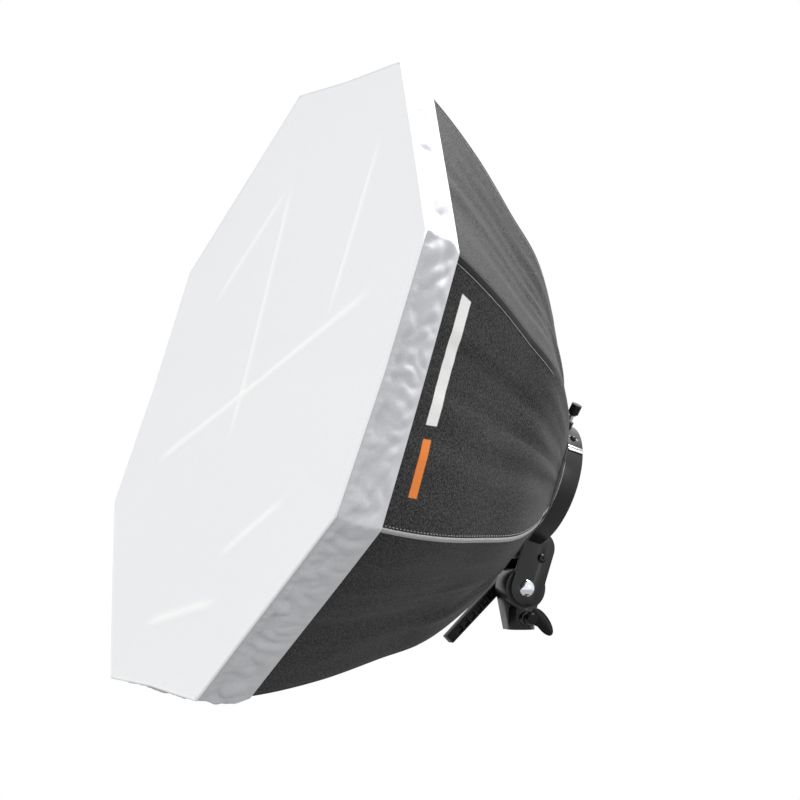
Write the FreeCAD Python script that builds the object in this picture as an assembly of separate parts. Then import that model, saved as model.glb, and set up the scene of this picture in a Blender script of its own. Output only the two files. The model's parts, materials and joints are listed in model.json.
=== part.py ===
import FreeCAD, Part
import math
import os
from FreeCAD import Vector

# Folding octagonal softbox for a hand flash, on a tilting bracket for a 16 mm stand stud.
# Everything is in millimetres.  +Z is up, the light leaves towards -Y, +X is across.
# The origin is the middle of the stand socket's mouth.
#
# The head (ring, ribs, covers, diffuser) is drawn level, in head coordinates:
#   x across, y = depth behind the front plane, z = height above the optical axis,
# and in_head() tilts it about the bracket's bolt into place.

# ---- driving dimensions -------------------------------------------------------------
SIDES = 8
FIRST_RIB_AZIMUTH = 22.5        # degrees from +X towards up
PITCH_ANGLE = 360.0 / SIDES
HALF_ANGLE = PITCH_ANGLE / 2

REST_TILT = 18.0                # the head looks up by this much at rest
TILT_BOLT_HEIGHT = 50.0         # above the socket's mouth
TILT_BOLT_DEPTH = 396.0         # head coordinates of the tilt bolt
TILT_BOLT_DROP = -129.0

RING_R = 76.0                   # outside of the rolled steel ring
RING_WALL = 2.5
RING_FRONT = 345.0
RING_REAR = 396.0
RIM_LIP = 2.5                   # the rear rim is turned in by this much
RIVET_R = 1.6
RIVET_HEAD_R = 3.4
RIVET_DOME_R = 4.0
RIVET_DEPTH = 384.0
RIVET_AZIMUTHS = [47.0, 124.0]
SEAM_BAR_AZIMUTH = 33.5
SEAM_BAR_HALF = 3.6
SEAM_BAR_FRONT = 375.5
SEAM_BAR_RISE = 1.4
SEAM_GROOVE_HALF = 1.1

# ridge of the fabric over each rib: (depth, radius)
RIDGE = [(0.0, 400.0), (50.0, 386.0), (150.0, 328.0), (262.0, 248.0), (363.4, 104.0)]
COVER_SKIN = 1.0                # measured along the radius
PANEL_GAP = 0.2                 # each half panel stops this far from the middle of the side

DIFFUSER_R = 403.0              # corners of the white front
DIFFUSER_SKIN = 0.8
DIFFUSER_GAP = 0.4
SKIRT_DEPTH = 50.0
SKIRT_INNER_R = 401.6

PIVOT_R = 88.0                  # rib hinge
PIVOT_DEPTH = 357.0
BLOCK_FRONT = PIVOT_DEPTH - 10.0
BLOCK_REAR = PIVOT_DEPTH + 10.0
BLOCK_BASE_TOP = 82.0
EAR_OUT = 8.0
EAR_R = 7.0
PIN_R = 2.0
EYE_R = 5.5
EYE_HALF = 3.0
ROD_R = 2.25
ROD_REAR = (300.0, 180.0)       # (depth, radius) of the bowed rod
ROD_MIDDLE = (150.0, 318.0)
ROD_FRONT = (6.0, 388.0)
FERRULE_R = 4.0
FERRULE_LENGTH = 24.0
RUN_FIT = 0.06                  # radial clearance of a part that turns in another
SEAT_FIT = 0.02                 # radial clearance of a part that is fixed in another

CLAMP_AZIMUTH = 67.5            # flash clamp screw
CLAMP_DEPTH = 381.6
JAW_FACE = 33.0                 # jaw pad's distance from the optical axis at rest
REST_FACE = 31.0                # fixed rest pad's distance, on the other side
PAD = 2.0
JAW_PLATE = 3.0
JAW_WIDTH = 46.0
JAW_DEPTH = 14.0
SPINDLE_R = 3.0
KNOB_R = 6.5
KNOB_FROM = 92.0
KNOB_TO = 106.0

PLATE_R = 21.0                  # ends of the two bracket plates
PLATE_INNER = 17.0
PLATE_THICK = 3.0
PLATE_TOP_DROP = -79.0
BRACKET_SCREW = (403.0, -89.0)  # (depth, drop)
SCREW_R = 2.5

BORE_R = 8.1                    # takes a 16 mm stud
BORE_LENGTH = 38.0
TUBE_R = 17.0
TUBE_TOP = 26.5
HUB_R = 26.0
HUB_HALF = 15.5
WEB_NEAR_X = 3.0                # the web stops short of the tube's near side
WEB_REAR_BOTTOM = 5.0
WEB_TOP_DROP = 5.0                # the web ends this far below the tilt bolt
POST_TOP_DROP = 10.0
TUBE_TURN = 200.0                 # turns the tube's seam line away from the boss
BOSS_START_X = 12.0
SHOE_WAY = 12.0
SCREW_WAY = 30.0
SHOE_X = 8.5
SHOE_THICK = 3.1
SHANK_X = 11.65
SHANK_LENGTH = 18.0
PADDLE_HUB_R = 7.5
PADDLE_HUB_X = 26.0
PADDLE_HUB_LENGTH = 7.0
PADDLE_CAP_R = 4.0
PADDLE_CAP_LENGTH = 3.0
PADDLE_BLIND = 3.7
WASHER_R = 23.0
BOSS_R = 9.0
BOSS_END_X = 24.0
BOLT_R = 4.0
SHOE_R = 3.2
SHOE_HEIGHT = 13.5
# middle of the thumb leaf, from the screw's axis; it clears the bolt head as it turns
LEAF_MIDDLE = (30.5, 15.0, -3.4)
LEAF_HALF_LENGTH = 20.0
LEAF_HALF_WIDTH = 8.5
LEAF_THICK = 4.4
LEAF_SLOPE = -53.0

LEVER_HUB_R = 17.0
LEVER_INNER = -20.8
LEVER_OUTER = -38.0
LEVER_NEAR = (-8.4, 59.1)       # (y, z) where the arm's centre line passes the bolt
LEVER_END = (-81.5, -12.0)
LEVER_WIDTH = 13.0

ALONG_X = Vector(1, 0, 0)
ALONG_Y = Vector(0, 1, 0)
ALONG_Z = Vector(0, 0, 1)
CENTRE = Vector(0, 0, 0)


# ---- helpers ------------------------------------------------------------------------
def in_head(shape):
    """Take a shape from level head coordinates to its tilted place."""
    moved = shape.copy()
    moved.translate(Vector(0, -TILT_BOLT_DEPTH, -TILT_BOLT_DROP))
    moved.rotate(CENTRE, ALONG_X, -REST_TILT)
    moved.translate(Vector(0, 0, TILT_BOLT_HEIGHT))
    return moved


def spin(shape, azimuth):
    """Turn a shape drawn on the +X radius round the optical axis."""
    turned = shape.copy()
    turned.rotate(CENTRE, ALONG_Y, -azimuth)
    return turned


def rib_azimuths():
    return [FIRST_RIB_AZIMUTH + PITCH_ANGLE * i for i in range(SIDES)]


def at(depth, radius, tangent=0.0):
    """A point of the +X radial plane."""
    return Vector(radius, depth, tangent)


def box(low, high):
    size = [high[i] - low[i] for i in range(3)]
    return Part.makeBox(size[0], size[1], size[2], Vector(*low))


def rod_between(start, end, radius):
    run = end - start
    return Part.makeCylinder(radius, run.Length, start, run)


def prism(points, run):
    """A flat outline, given as vectors, pushed along run."""
    outline = Part.makePolygon(points + [points[0]])
    return Part.Face(outline).extrude(run)


def revolved(profile):
    """Revolve a (radius, depth) outline round the optical axis."""
    points = [Vector(radius, depth, 0) for radius, depth in profile]
    outline = Part.makePolygon(points + [points[0]])
    return Part.Face(outline).revolve(CENTRE, ALONG_Y, 360)


def six_faced(front, back):
    """A solid between two flat four-sided faces, corner to corner."""
    quads = [front, back]
    for i in range(4):
        j = (i + 1) % 4
        quads.append([front[i], front[j], back[j], back[i]])
    faces = [Part.Face(Part.makePolygon(q + [q[0]])) for q in quads]
    solid = Part.Solid(Part.makeShell(faces))
    if solid.Volume < 0:
        solid.reverse()
    return solid


def hexagon_prism(across_flats, start, length):
    """A hexagonal nut blank along X, in the bolt's plane."""
    corner = across_flats / math.sqrt(3)
    points = []
    for i in range(6):
        angle = math.radians(60 * i)
        points.append(Vector(start, corner * math.cos(angle), corner * math.sin(angle)))
    return prism(points, Vector(length, 0, 0))


def stadium(start_x, thickness, low, high, radius):
    """A round-ended plate across X; low and high are the ends' (y, z) centres."""
    a = Vector(start_x, low[0], low[1])
    b = Vector(start_x, high[0], high[1])
    side = (b - a).normalize().cross(ALONG_X) * radius
    run = ALONG_X * thickness
    middle = prism([a + side, b + side, b - side, a - side], run)
    ends = [Part.makeCylinder(radius, thickness, p, ALONG_X) for p in (a, b)]
    return middle.fuse(ends).removeSplitter()


def export(name, shape):
    solids = shape.Solids
    shape = solids[0] if len(solids) == 1 else Part.makeCompound(solids)
    shape.exportStep("parts/" + name + ".step")
    print(name, len(solids), "solid(s)", round(shape.Volume / 1000.0, 2), "cm3")


# ---- stand mount --------------------------------------------------------------------
def stand_socket():
    """Cast socket: a tube for the stud, a web behind it and the tilt hub on top."""
    tube = Part.makeCylinder(TUBE_R, TUBE_TOP)
    tube.rotate(CENTRE, ALONG_Z, TUBE_TURN)
    post = Part.makeCylinder(HUB_HALF, TILT_BOLT_HEIGHT - POST_TOP_DROP)
    post.rotate(CENTRE, ALONG_Z, TUBE_TURN)
    hub_low = Vector(-HUB_HALF, 0, TILT_BOLT_HEIGHT)
    hub = Part.makeCylinder(HUB_R, 2 * HUB_HALF, hub_low, ALONG_X)
    foot = TUBE_R - 1.0
    shoulder = HUB_R - 0.6
    web_top = TILT_BOLT_HEIGHT - WEB_TOP_DROP
    web_points = [
        Vector(-HUB_HALF, -foot, 0),
        Vector(-HUB_HALF, foot, WEB_REAR_BOTTOM),
        Vector(-HUB_HALF, shoulder, web_top),
        Vector(-HUB_HALF, -shoulder, web_top),
    ]
    web = prism(web_points, ALONG_X * (HUB_HALF + WEB_NEAR_X))
    boss_start = Vector(BOSS_START_X, 0, SHOE_HEIGHT)
    boss = Part.makeCylinder(BOSS_R, BOSS_END_X - BOSS_START_X, boss_start, ALONG_X)
    body = tube.fuse([post, hub, web, boss]).removeSplitter()
    bore = Part.makeCylinder(BORE_R, BORE_LENGTH)
    bolt_start = Vector(-HUB_R, 0, TILT_BOLT_HEIGHT)
    bolt_way = Part.makeCylinder(BOLT_R + RUN_FIT, 2 * HUB_R, bolt_start, ALONG_X)
    shoe_way = Part.makeCylinder(SHOE_R + RUN_FIT, SHOE_WAY, Vector(0, 0, SHOE_HEIGHT), ALONG_X)
    screw_way = Part.makeCylinder(SPINDLE_R + RUN_FIT, SCREW_WAY, Vector(0, 0, SHOE_HEIGHT), ALONG_X)
    return body.cut(bore.fuse([bolt_way, shoe_way, screw_way]))


def friction_washers():
    """A fibre washer each side of the hub, between it and the bracket plates."""
    thick = PLATE_INNER - HUB_HALF - 0.1
    washers = []
    for start in (HUB_HALF, -HUB_HALF - thick):
        disc = Part.makeCylinder(WASHER_R, thick, Vector(start, 0, TILT_BOLT_HEIGHT), ALONG_X)
        hole = Part.makeCylinder(BOLT_R + 0.1, thick, Vector(start, 0, TILT_BOLT_HEIGHT), ALONG_X)
        washers.append(disc.cut(hole))
    return Part.makeCompound(washers)


def stand_shoe():
    """Brass shoe that the screw presses on the stud; drawn clear of the bore."""
    return Part.makeCylinder(SHOE_R, SHOE_THICK, Vector(SHOE_X, 0, SHOE_HEIGHT), ALONG_X)


def stand_screw_shank():
    return Part.makeCylinder(SPINDLE_R, SHANK_LENGTH, Vector(SHANK_X, 0, SHOE_HEIGHT), ALONG_X)


def stand_screw_paddle():
    """Moulded hub with one broad leaf at its side, sloping back and down."""
    hub = Part.makeCylinder(PADDLE_HUB_R, PADDLE_HUB_LENGTH, Vector(PADDLE_HUB_X, 0, 0), ALONG_X)
    cap_start = Vector(PADDLE_HUB_X + PADDLE_HUB_LENGTH, 0, 0)
    cap = Part.makeCone(PADDLE_HUB_R, PADDLE_CAP_R, PADDLE_CAP_LENGTH, cap_start, ALONG_X)
    outline = Part.Ellipse(CENTRE, LEAF_HALF_LENGTH, LEAF_HALF_WIDTH).toShape()
    leaf = Part.Face(Part.Wire(outline)).extrude(ALONG_Z * LEAF_THICK)
    leaf.translate(ALONG_Z * (-LEAF_THICK / 2))
    leaf.rotate(CENTRE, ALONG_Y, 90)
    leaf.rotate(CENTRE, ALONG_X, 90 + LEAF_SLOPE)
    leaf.translate(Vector(*LEAF_MIDDLE))
    blind = Part.makeCylinder(SPINDLE_R + SEAT_FIT, PADDLE_BLIND, Vector(PADDLE_HUB_X, 0, 0), ALONG_X)
    paddle = hub.fuse([cap, leaf]).cut(blind)
    paddle.translate(ALONG_Z * SHOE_HEIGHT)
    return paddle


# ---- bracket ------------------------------------------------------------------------
def bracket_plate(start_x):
    low = (TILT_BOLT_DEPTH, TILT_BOLT_DROP)
    high = (TILT_BOLT_DEPTH, PLATE_TOP_DROP)
    plate = stadium(start_x, PLATE_THICK, low, high, PLATE_R)
    ring_room = Part.makeCylinder(RING_R + 0.1, 60, Vector(0, RING_REAR + 0.6 - 60, 0), ALONG_Y)
    screw_way = Part.makeCylinder(SCREW_R + 0.2, PLATE_THICK, Vector(start_x, *BRACKET_SCREW), ALONG_X)
    return plate.cut(ring_room.fuse(screw_way))


def near_plate():
    """Plate on the bolt head's side, with the square hole that holds the bolt's neck."""
    plate = bracket_plate(PLATE_INNER)
    half = BOLT_R + 0.1
    low = (PLATE_INNER, TILT_BOLT_DEPTH - half, TILT_BOLT_DROP - half)
    high = (PLATE_INNER + PLATE_THICK, TILT_BOLT_DEPTH + half, TILT_BOLT_DROP + half)
    return plate.cut(box(low, high))


def far_plate():
    start = -PLATE_INNER - PLATE_THICK
    plate = bracket_plate(start)
    hole_at = Vector(start, TILT_BOLT_DEPTH, TILT_BOLT_DROP)
    return plate.cut(Part.makeCylinder(BOLT_R + 0.1, PLATE_THICK, hole_at, ALONG_X))


def ring_lug():
    """Block welded under the ring, between the plates."""
    block = box((-PLATE_INNER, 377.0, -98.0), (PLATE_INNER, 412.0, -70.0))
    ring_room = Part.makeCylinder(RING_R, 60, Vector(0, RING_REAR + 0.2 - 60, 0), ALONG_Y)
    behind = box((-PLATE_INNER, RING_REAR + 0.2, -78.0), (PLATE_INNER, 412.0, -70.0))
    way = Part.makeCylinder(SCREW_R + SEAT_FIT, 60, Vector(-30, *BRACKET_SCREW), ALONG_X)
    return block.cut(ring_room.fuse([behind, way]))


def bracket_screws():
    """A button-head screw through each plate into the lug."""
    screws = []
    for side in (1, -1):
        face = PLATE_INNER + PLATE_THICK
        shank = Part.makeCylinder(SCREW_R, 14.0, Vector(face - 14, *BRACKET_SCREW), ALONG_X)
        head = Part.makeCone(6.0, 3.6, 3.2, Vector(face, *BRACKET_SCREW), ALONG_X)
        socket = hexagon_prism(3.0, face + 1.4, 4.0)
        socket.translate(Vector(0, *BRACKET_SCREW))
        screw = shank.fuse(head).cut(socket)
        if side < 0:
            screw.rotate(Vector(0, *BRACKET_SCREW), ALONG_Z, 180)
        screws.append(screw)
    return Part.makeCompound(screws)


def tilt_bolt():
    """Carriage bolt: domed head, square neck in the near plate, round shank."""
    face = PLATE_INNER + PLATE_THICK
    dome_r = 10.0
    dome_rise = 4.4
    ball_r = (dome_r ** 2 + dome_rise ** 2) / (2 * dome_rise)
    ball = Part.makeSphere(ball_r, Vector(face + dome_rise - ball_r, 0, 0))
    dome = ball.common(box((face, -30, -30), (face + 10, 30, 30)))
    neck = box((PLATE_INNER, -BOLT_R, -BOLT_R), (face, BOLT_R, BOLT_R))
    shank = Part.makeCylinder(BOLT_R, face + 34.0, Vector(-34, 0, 0), ALONG_X)
    bolt = shank.fuse([neck, dome]).removeSplitter()
    bolt.translate(Vector(0, TILT_BOLT_DEPTH, TILT_BOLT_DROP))
    return bolt


# ---- tilt lever (drawn in place, about the bolt) ---------------------------------------
def tilt_lever():
    """Moulded clamp lever on the far side, with a row of hollows along the arm."""
    width = LEVER_OUTER - LEVER_INNER
    hub = Part.makeCylinder(LEVER_HUB_R, -width, Vector(LEVER_OUTER, 0, TILT_BOLT_HEIGHT), ALONG_X)
    start = Vector(0, *LEVER_NEAR)
    end = Vector(0, *LEVER_END)
    along = (end - start).normalize()
    across = along.cross(ALONG_X)
    half = LEVER_WIDTH / 2
    arm_inner = LEVER_INNER - 3.2
    base = ALONG_X * LEVER_OUTER
    corners = [
        base + start + across * half,
        base + end + across * (half - 1.0),
        base + end - across * (half - 1.0),
        base + start - across * half,
    ]
    arm = prism(corners, ALONG_X * (arm_inner - LEVER_OUTER))
    body = hub.fuse(arm).removeSplitter()
    hollows = []
    count = 6
    first = 27.0
    step = 11.5
    for i in range(count):
        middle = start + along * (first + step * i)
        lower = middle - along * 4.0 - across * 3.4
        points = [lower, lower + along * 8.0, lower + along * 8.0 + across * 6.8, lower + across * 6.8]
        points = [p + ALONG_X * (arm_inner - 4.0) for p in points]
        hollows.append(prism(points, ALONG_X * 8.0))
    nut_room = hexagon_prism(13.0 + 0.06, LEVER_INNER - 8.0, 9.0)
    nut_room.translate(Vector(0, 0, TILT_BOLT_HEIGHT))
    bolt_room = Part.makeCylinder(BOLT_R + 0.3, 14.0, Vector(-34.6, 0, TILT_BOLT_HEIGHT), ALONG_X)
    return body.cut(hollows + [nut_room, bolt_room])


def lever_nut():
    """Steel nut moulded into the lever."""
    nut = hexagon_prism(13.0, LEVER_INNER - 7.9, 7.6)
    nut.translate(Vector(0, 0, TILT_BOLT_HEIGHT))
    hole = Part.makeCylinder(BOLT_R + RUN_FIT, 20.0, Vector(-34.6, 0, TILT_BOLT_HEIGHT), ALONG_X)
    return nut.cut(hole)


# ---- ring -----------------------------------------------------------------------------
def block_rivet():
    """Rivet from inside the ring into a hinge block, on the +X radius."""
    wall = RING_R - RING_WALL
    shank = rod_between(at(PIVOT_DEPTH, wall), at(PIVOT_DEPTH, RING_R + 3.5), RIVET_R)
    head = rod_between(at(PIVOT_DEPTH, wall - 1.6), at(PIVOT_DEPTH, wall - 0.25), RIVET_HEAD_R)
    neck = rod_between(at(PIVOT_DEPTH, wall - 0.3), at(PIVOT_DEPTH, wall), RIVET_R)
    return shank.fuse([head, neck]).removeSplitter()


def hem_rivet(azimuth, depth):
    """Domed rivet on the outside of the ring."""
    shank = rod_between(at(depth, RING_R - RING_WALL), at(depth, RING_R + 0.6), RIVET_R)
    dome = Part.makeSphere(RIVET_DOME_R, at(depth, RING_R - 0.6))
    outside = box((RING_R + 0.4, depth - 6, -6), (RING_R + 8, depth + 6, 6))
    return spin(shank.fuse(dome.common(outside)), azimuth)


def ring_band():
    """Rolled steel band with its rear rim turned in."""
    inner = RING_R - RING_WALL
    lip_from = RING_REAR - 2.0
    profile = [
        (inner, RING_FRONT),
        (RING_R, RING_FRONT),
        (RING_R, RING_REAR),
        (inner - RIM_LIP, RING_REAR),
        (inner - RIM_LIP, lip_from),
        (inner, lip_from),
    ]
    band = revolved(profile)
    holes = [spin(block_rivet(), azimuth) for azimuth in rib_azimuths()]
    holes += [hem_rivet(azimuth, RIVET_DEPTH) for azimuth in RIVET_AZIMUTHS]
    screw_way = rod_between(at(CLAMP_DEPTH, 60), at(CLAMP_DEPTH, 90), SPINDLE_R + 0.4)
    holes.append(spin(screw_way, CLAMP_AZIMUTH))
    return band.cut(holes)


def ring_seam_bar():
    """Narrow bar over the joint of the rolled band, with a groove along it."""
    top = RING_R + SEAM_BAR_RISE
    half = SEAM_BAR_HALF
    slit = SEAM_GROOVE_HALF
    bar = box((RING_R - 4.0, SEAM_BAR_FRONT, -half), (top, RING_REAR - 0.6, half))
    groove = box((RING_R + 0.5, SEAM_BAR_FRONT - 1, -slit), (top + 1, RING_REAR, slit))
    inside = Part.makeCylinder(RING_R, 60, Vector(0, 350, 0), ALONG_Y)
    return spin(bar.cut([groove, inside]), SEAM_BAR_AZIMUTH)


def ring_rivets():
    rivets = [spin(block_rivet(), azimuth) for azimuth in rib_azimuths()]
    rivets += [hem_rivet(azimuth, RIVET_DEPTH) for azimuth in RIVET_AZIMUTHS]
    return Part.makeCompound(rivets)


def hinge_block():
    """Fork that carries one rib, on the +X radius."""
    base = box((RING_R - 3, BLOCK_FRONT, -EAR_OUT), (BLOCK_BASE_TOP, BLOCK_REAR, EAR_OUT))
    root_low = (BLOCK_BASE_TOP - 2, PIVOT_DEPTH - EAR_R, -EAR_OUT)
    ear_root = box(root_low, (PIVOT_R, PIVOT_DEPTH + EAR_R, EAR_OUT))
    ear_end = Part.makeCylinder(EAR_R, 2 * EAR_OUT, at(PIVOT_DEPTH, PIVOT_R, -EAR_OUT), ALONG_Z)
    slot = box((BLOCK_BASE_TOP, 340, -EYE_HALF - 0.2), (120, 380, EYE_HALF + 0.2))
    pin_way = Part.makeCylinder(PIN_R + SEAT_FIT, 30, at(PIVOT_DEPTH, PIVOT_R, -15), ALONG_Z)
    ring_room = Part.makeCylinder(RING_R, 60, Vector(0, 330, 0), ALONG_Y)
    body = base.fuse([ear_root, ear_end]).removeSplitter()
    return body.cut([slot, pin_way, ring_room, block_rivet()])


def hinge_pin():
    shaft = Part.makeCylinder(PIN_R, 2 * EAR_OUT + 0.6, at(PIVOT_DEPTH, PIVOT_R, -EAR_OUT - 0.6), ALONG_Z)
    head = Part.makeCylinder(3.2, 1.2, at(PIVOT_DEPTH, PIVOT_R, EAR_OUT), ALONG_Z)
    return shaft.fuse(head)


def all_round(make):
    return Part.makeCompound([spin(make(), azimuth) for azimuth in rib_azimuths()])


# ---- flash clamp (drawn on the +X radius, screw towards +X) ------------------------------
def clamp_plate(inner_face, thickness, width=JAW_WIDTH):
    half_depth = JAW_DEPTH / 2
    low = (inner_face, CLAMP_DEPTH - half_depth, -width / 2)
    high = (inner_face + thickness, CLAMP_DEPTH + half_depth, width / 2)
    return box(low, high)


def flash_rest():
    """Fixed steel rest: a bridge on two legs that stand on the inside of the ring."""
    top = clamp_plate(REST_FACE + PAD, JAW_PLATE)
    half_depth = JAW_DEPTH / 2 - 2.5
    reach = Part.makeCylinder(RING_R - RING_WALL, 60, Vector(0, 350, 0), ALONG_Y)
    legs = []
    for side in (1, -1):
        outer = side * JAW_WIDTH / 2
        inner = outer - side * 3.0
        low = (REST_FACE + PAD, CLAMP_DEPTH - half_depth, min(outer, inner))
        high = (RING_R, CLAMP_DEPTH + half_depth, max(outer, inner))
        legs.append(box(low, high).common(reach))
    return spin(top.fuse(legs).removeSplitter(), CLAMP_AZIMUTH + 180)


def rest_pad():
    return spin(clamp_plate(REST_FACE, PAD, JAW_WIDTH - 6), CLAMP_AZIMUTH + 180)


def jaw_boss():
    """Threaded boss on the ring for the clamp screw."""
    boss = rod_between(at(CLAMP_DEPTH, RING_R - 3), at(CLAMP_DEPTH, RING_R + 7.5), 6.0)
    way = rod_between(at(CLAMP_DEPTH, 60), at(CLAMP_DEPTH, 95), SPINDLE_R + RUN_FIT)
    inside = Part.makeCylinder(RING_R, 60, Vector(0, 350, 0), ALONG_Y)
    return spin(boss.cut([way, inside]), CLAMP_AZIMUTH)


def flash_jaw():
    """Moving jaw with the cup that holds the screw's end."""
    back = JAW_FACE + PAD + JAW_PLATE
    plate = clamp_plate(JAW_FACE + PAD, JAW_PLATE)
    cup = rod_between(at(CLAMP_DEPTH, back), at(CLAMP_DEPTH, back + 6), 6.0)
    way = rod_between(at(CLAMP_DEPTH, back + 1.5), at(CLAMP_DEPTH, back + 8), SPINDLE_R + RUN_FIT)
    return spin(plate.fuse(cup).removeSplitter().cut(way), CLAMP_AZIMUTH)


def jaw_pad():
    return spin(clamp_plate(JAW_FACE, PAD, JAW_WIDTH - 6), CLAMP_AZIMUTH)


def clamp_spindle():
    start = JAW_FACE + PAD + JAW_PLATE + 1.6
    spindle = rod_between(at(CLAMP_DEPTH, start), at(CLAMP_DEPTH, KNOB_FROM + 9), SPINDLE_R)
    return spin(spindle, CLAMP_AZIMUTH)


def clamp_knob():
    """Knurled knob: a cylinder with grooves along its sides."""
    knob = rod_between(at(CLAMP_DEPTH, KNOB_FROM), at(CLAMP_DEPTH, KNOB_TO), KNOB_R)
    collar = rod_between(at(CLAMP_DEPTH, KNOB_FROM), at(CLAMP_DEPTH, KNOB_FROM + 2.0), 4.6)
    waist = rod_between(at(CLAMP_DEPTH, KNOB_FROM), at(CLAMP_DEPTH, KNOB_FROM + 2.0), KNOB_R)
    knob = knob.cut(waist).fuse(collar)
    grooves = []
    count = 18
    for i in range(count):
        angle = math.radians(360.0 / count * i)
        side_d = CLAMP_DEPTH + (KNOB_R + 0.25) * math.cos(angle)
        side_t = (KNOB_R + 0.25) * math.sin(angle)
        low = at(side_d, KNOB_FROM + 2, side_t)
        high = at(side_d, KNOB_TO - 1.4, side_t)
        grooves.append(rod_between(low, high, 0.6))
    way = rod_between(at(CLAMP_DEPTH, KNOB_FROM), at(CLAMP_DEPTH, KNOB_FROM + 9.1), SPINDLE_R + SEAT_FIT)
    return spin(knob.cut(grooves + [way]), CLAMP_AZIMUTH)


# ---- ribs (drawn on the +X radius) -------------------------------------------------------
def rod_arc():
    points = [at(*p) for p in (ROD_REAR, ROD_MIDDLE, ROD_FRONT)]
    return Part.Arc(*points).toShape()


def rod_start_direction():
    arc = rod_arc()
    return arc.tangentAt(arc.FirstParameter)


def rib_arm():
    """Steel arm: an eye on the hinge pin and a ferrule that holds the rod."""
    pivot = at(PIVOT_DEPTH, PIVOT_R)
    forward = rod_start_direction()
    rear = at(*ROD_REAR)
    ferrule_start = rear - forward * (FERRULE_LENGTH - 4.0)
    ferrule = rod_between(ferrule_start, rear + forward * 4.0, FERRULE_R)
    run = ferrule_start - pivot
    along = Vector(run).normalize()
    across = along.cross(ALONG_Z) * 3.6
    bar_end = pivot + run + along * 2.0
    bar_half = 2.4
    drop = ALONG_Z * bar_half
    corners = [pivot + across, bar_end + across, bar_end - across, pivot - across]
    bar = prism([corner - drop for corner in corners], ALONG_Z * (2 * bar_half))
    eye = Part.makeCylinder(EYE_R, 2 * EYE_HALF, at(PIVOT_DEPTH, PIVOT_R, -EYE_HALF), ALONG_Z)
    pin_way = Part.makeCylinder(PIN_R + RUN_FIT, 20, at(PIVOT_DEPTH, PIVOT_R, -10), ALONG_Z)
    rod_way = rod_between(rear - forward * 16.0, rear + forward * 6.0, ROD_R + SEAT_FIT)
    return bar.fuse([eye, ferrule]).removeSplitter().cut([pin_way, rod_way])


def rib_rod():
    """Bowed spring-steel rod with a straight tail in the ferrule."""
    arc = rod_arc()
    forward = rod_start_direction()
    tail_start = at(*ROD_REAR) - forward * 15.0
    tail = Part.makeLine(tail_start, at(*ROD_REAR))
    path = Part.Wire([tail, arc])
    section = Part.Wire(Part.Circle(tail_start, forward, ROD_R).toShape())
    return path.makePipeShell([section], True, True)


def rib_tip():
    """Moulded cap on the rod's front end, in the corner pocket of the cover."""
    arc = rod_arc()
    end = at(*ROD_FRONT)
    forward = arc.tangentAt(arc.LastParameter)
    cap = rod_between(end - forward * 9.0, end + forward * 3.6, 4.2)
    cap = cap.makeChamfer(1.0, [e for e in cap.Edges if len(e.Vertexes) == 1])
    rod = rib_rod()
    socket = rod_between(end - forward * 12.0, end + forward * 0.05, ROD_R + SEAT_FIT)
    return cap.cut(socket.fuse(rod))


def half_cover(side):
    """Half a panel each side of the rib, in flat lengths between the ridge's points."""
    lengths = []
    angle = math.radians(HALF_ANGLE)

    def middle(depth, radius):
        """Half way along the straight side to the next rib, less the gap."""
        reach = radius * math.sin(angle) - PANEL_GAP
        return at(depth, radius - reach * math.sin(angle), side * reach * math.cos(angle))

    for (d0, r0), (d1, r1) in zip(RIDGE, RIDGE[1:]):
        outer = [at(d0, r0), at(d1, r1), middle(d1, r1), middle(d0, r0)]
        i0 = r0 - COVER_SKIN
        i1 = r1 - COVER_SKIN
        inner = [at(d0, i0), at(d1, i1), middle(d1, i1), middle(d0, i0)]
        lengths.append(six_faced(outer, inner))
    return lengths


def cover():
    return Part.makeCompound(half_cover(1) + half_cover(-1))


# ---- neck and diffuser -------------------------------------------------------------------
def octagon_corner(depth, radius, index):
    azimuth = math.radians(FIRST_RIB_AZIMUTH + PITCH_ANGLE * index)
    return Vector(radius * math.cos(azimuth), depth, radius * math.sin(azimuth))


def eight_sided_shell(outer, inner):
    """Flat lengths round all eight sides, between an outer and an inner (depth, radius) line."""
    lengths = []
    for i in range(SIDES):
        for k in range(len(outer) - 1):
            front = [octagon_corner(*outer[k], i), octagon_corner(*outer[k], i + 1)]
            front += [octagon_corner(*outer[k + 1], i + 1), octagon_corner(*outer[k + 1], i)]
            back = [octagon_corner(*inner[k], i), octagon_corner(*inner[k], i + 1)]
            back += [octagon_corner(*inner[k + 1], i + 1), octagon_corner(*inner[k + 1], i)]
            lengths.append(six_faced(front, back))
    return Part.makeCompound(lengths)


def neck_collar():
    """Fabric neck between the covers and the ring."""
    outer = [(364.6, 104.0), (370.0, 94.0), (371.0, 82.6)]
    inner = [(364.6, 102.4), (368.6, 93.4), (369.8, 82.6)]
    return eight_sided_shell(outer, inner)


def diffuser_front():
    low = -DIFFUSER_GAP - DIFFUSER_SKIN
    points = [octagon_corner(low, DIFFUSER_R, i) for i in range(SIDES)]
    return prism(points, ALONG_Y * DIFFUSER_SKIN)


def diffuser_skirt():
    """White band that wraps the rim of the covers."""
    outer = [(-DIFFUSER_GAP, DIFFUSER_R), (SKIRT_DEPTH, DIFFUSER_R)]
    inner = [(-DIFFUSER_GAP, SKIRT_INNER_R), (SKIRT_DEPTH, SKIRT_INNER_R)]
    return eight_sided_shell(outer, inner)


# ---- write every sub-part ------------------------------------------------------------------
os.makedirs("parts", exist_ok=True)

export("stand_socket", stand_socket())
export("friction_washers", friction_washers())
export("stand_shoe", stand_shoe())
export("stand_screw_shank", stand_screw_shank())
export("stand_screw_paddle", stand_screw_paddle())

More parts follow.
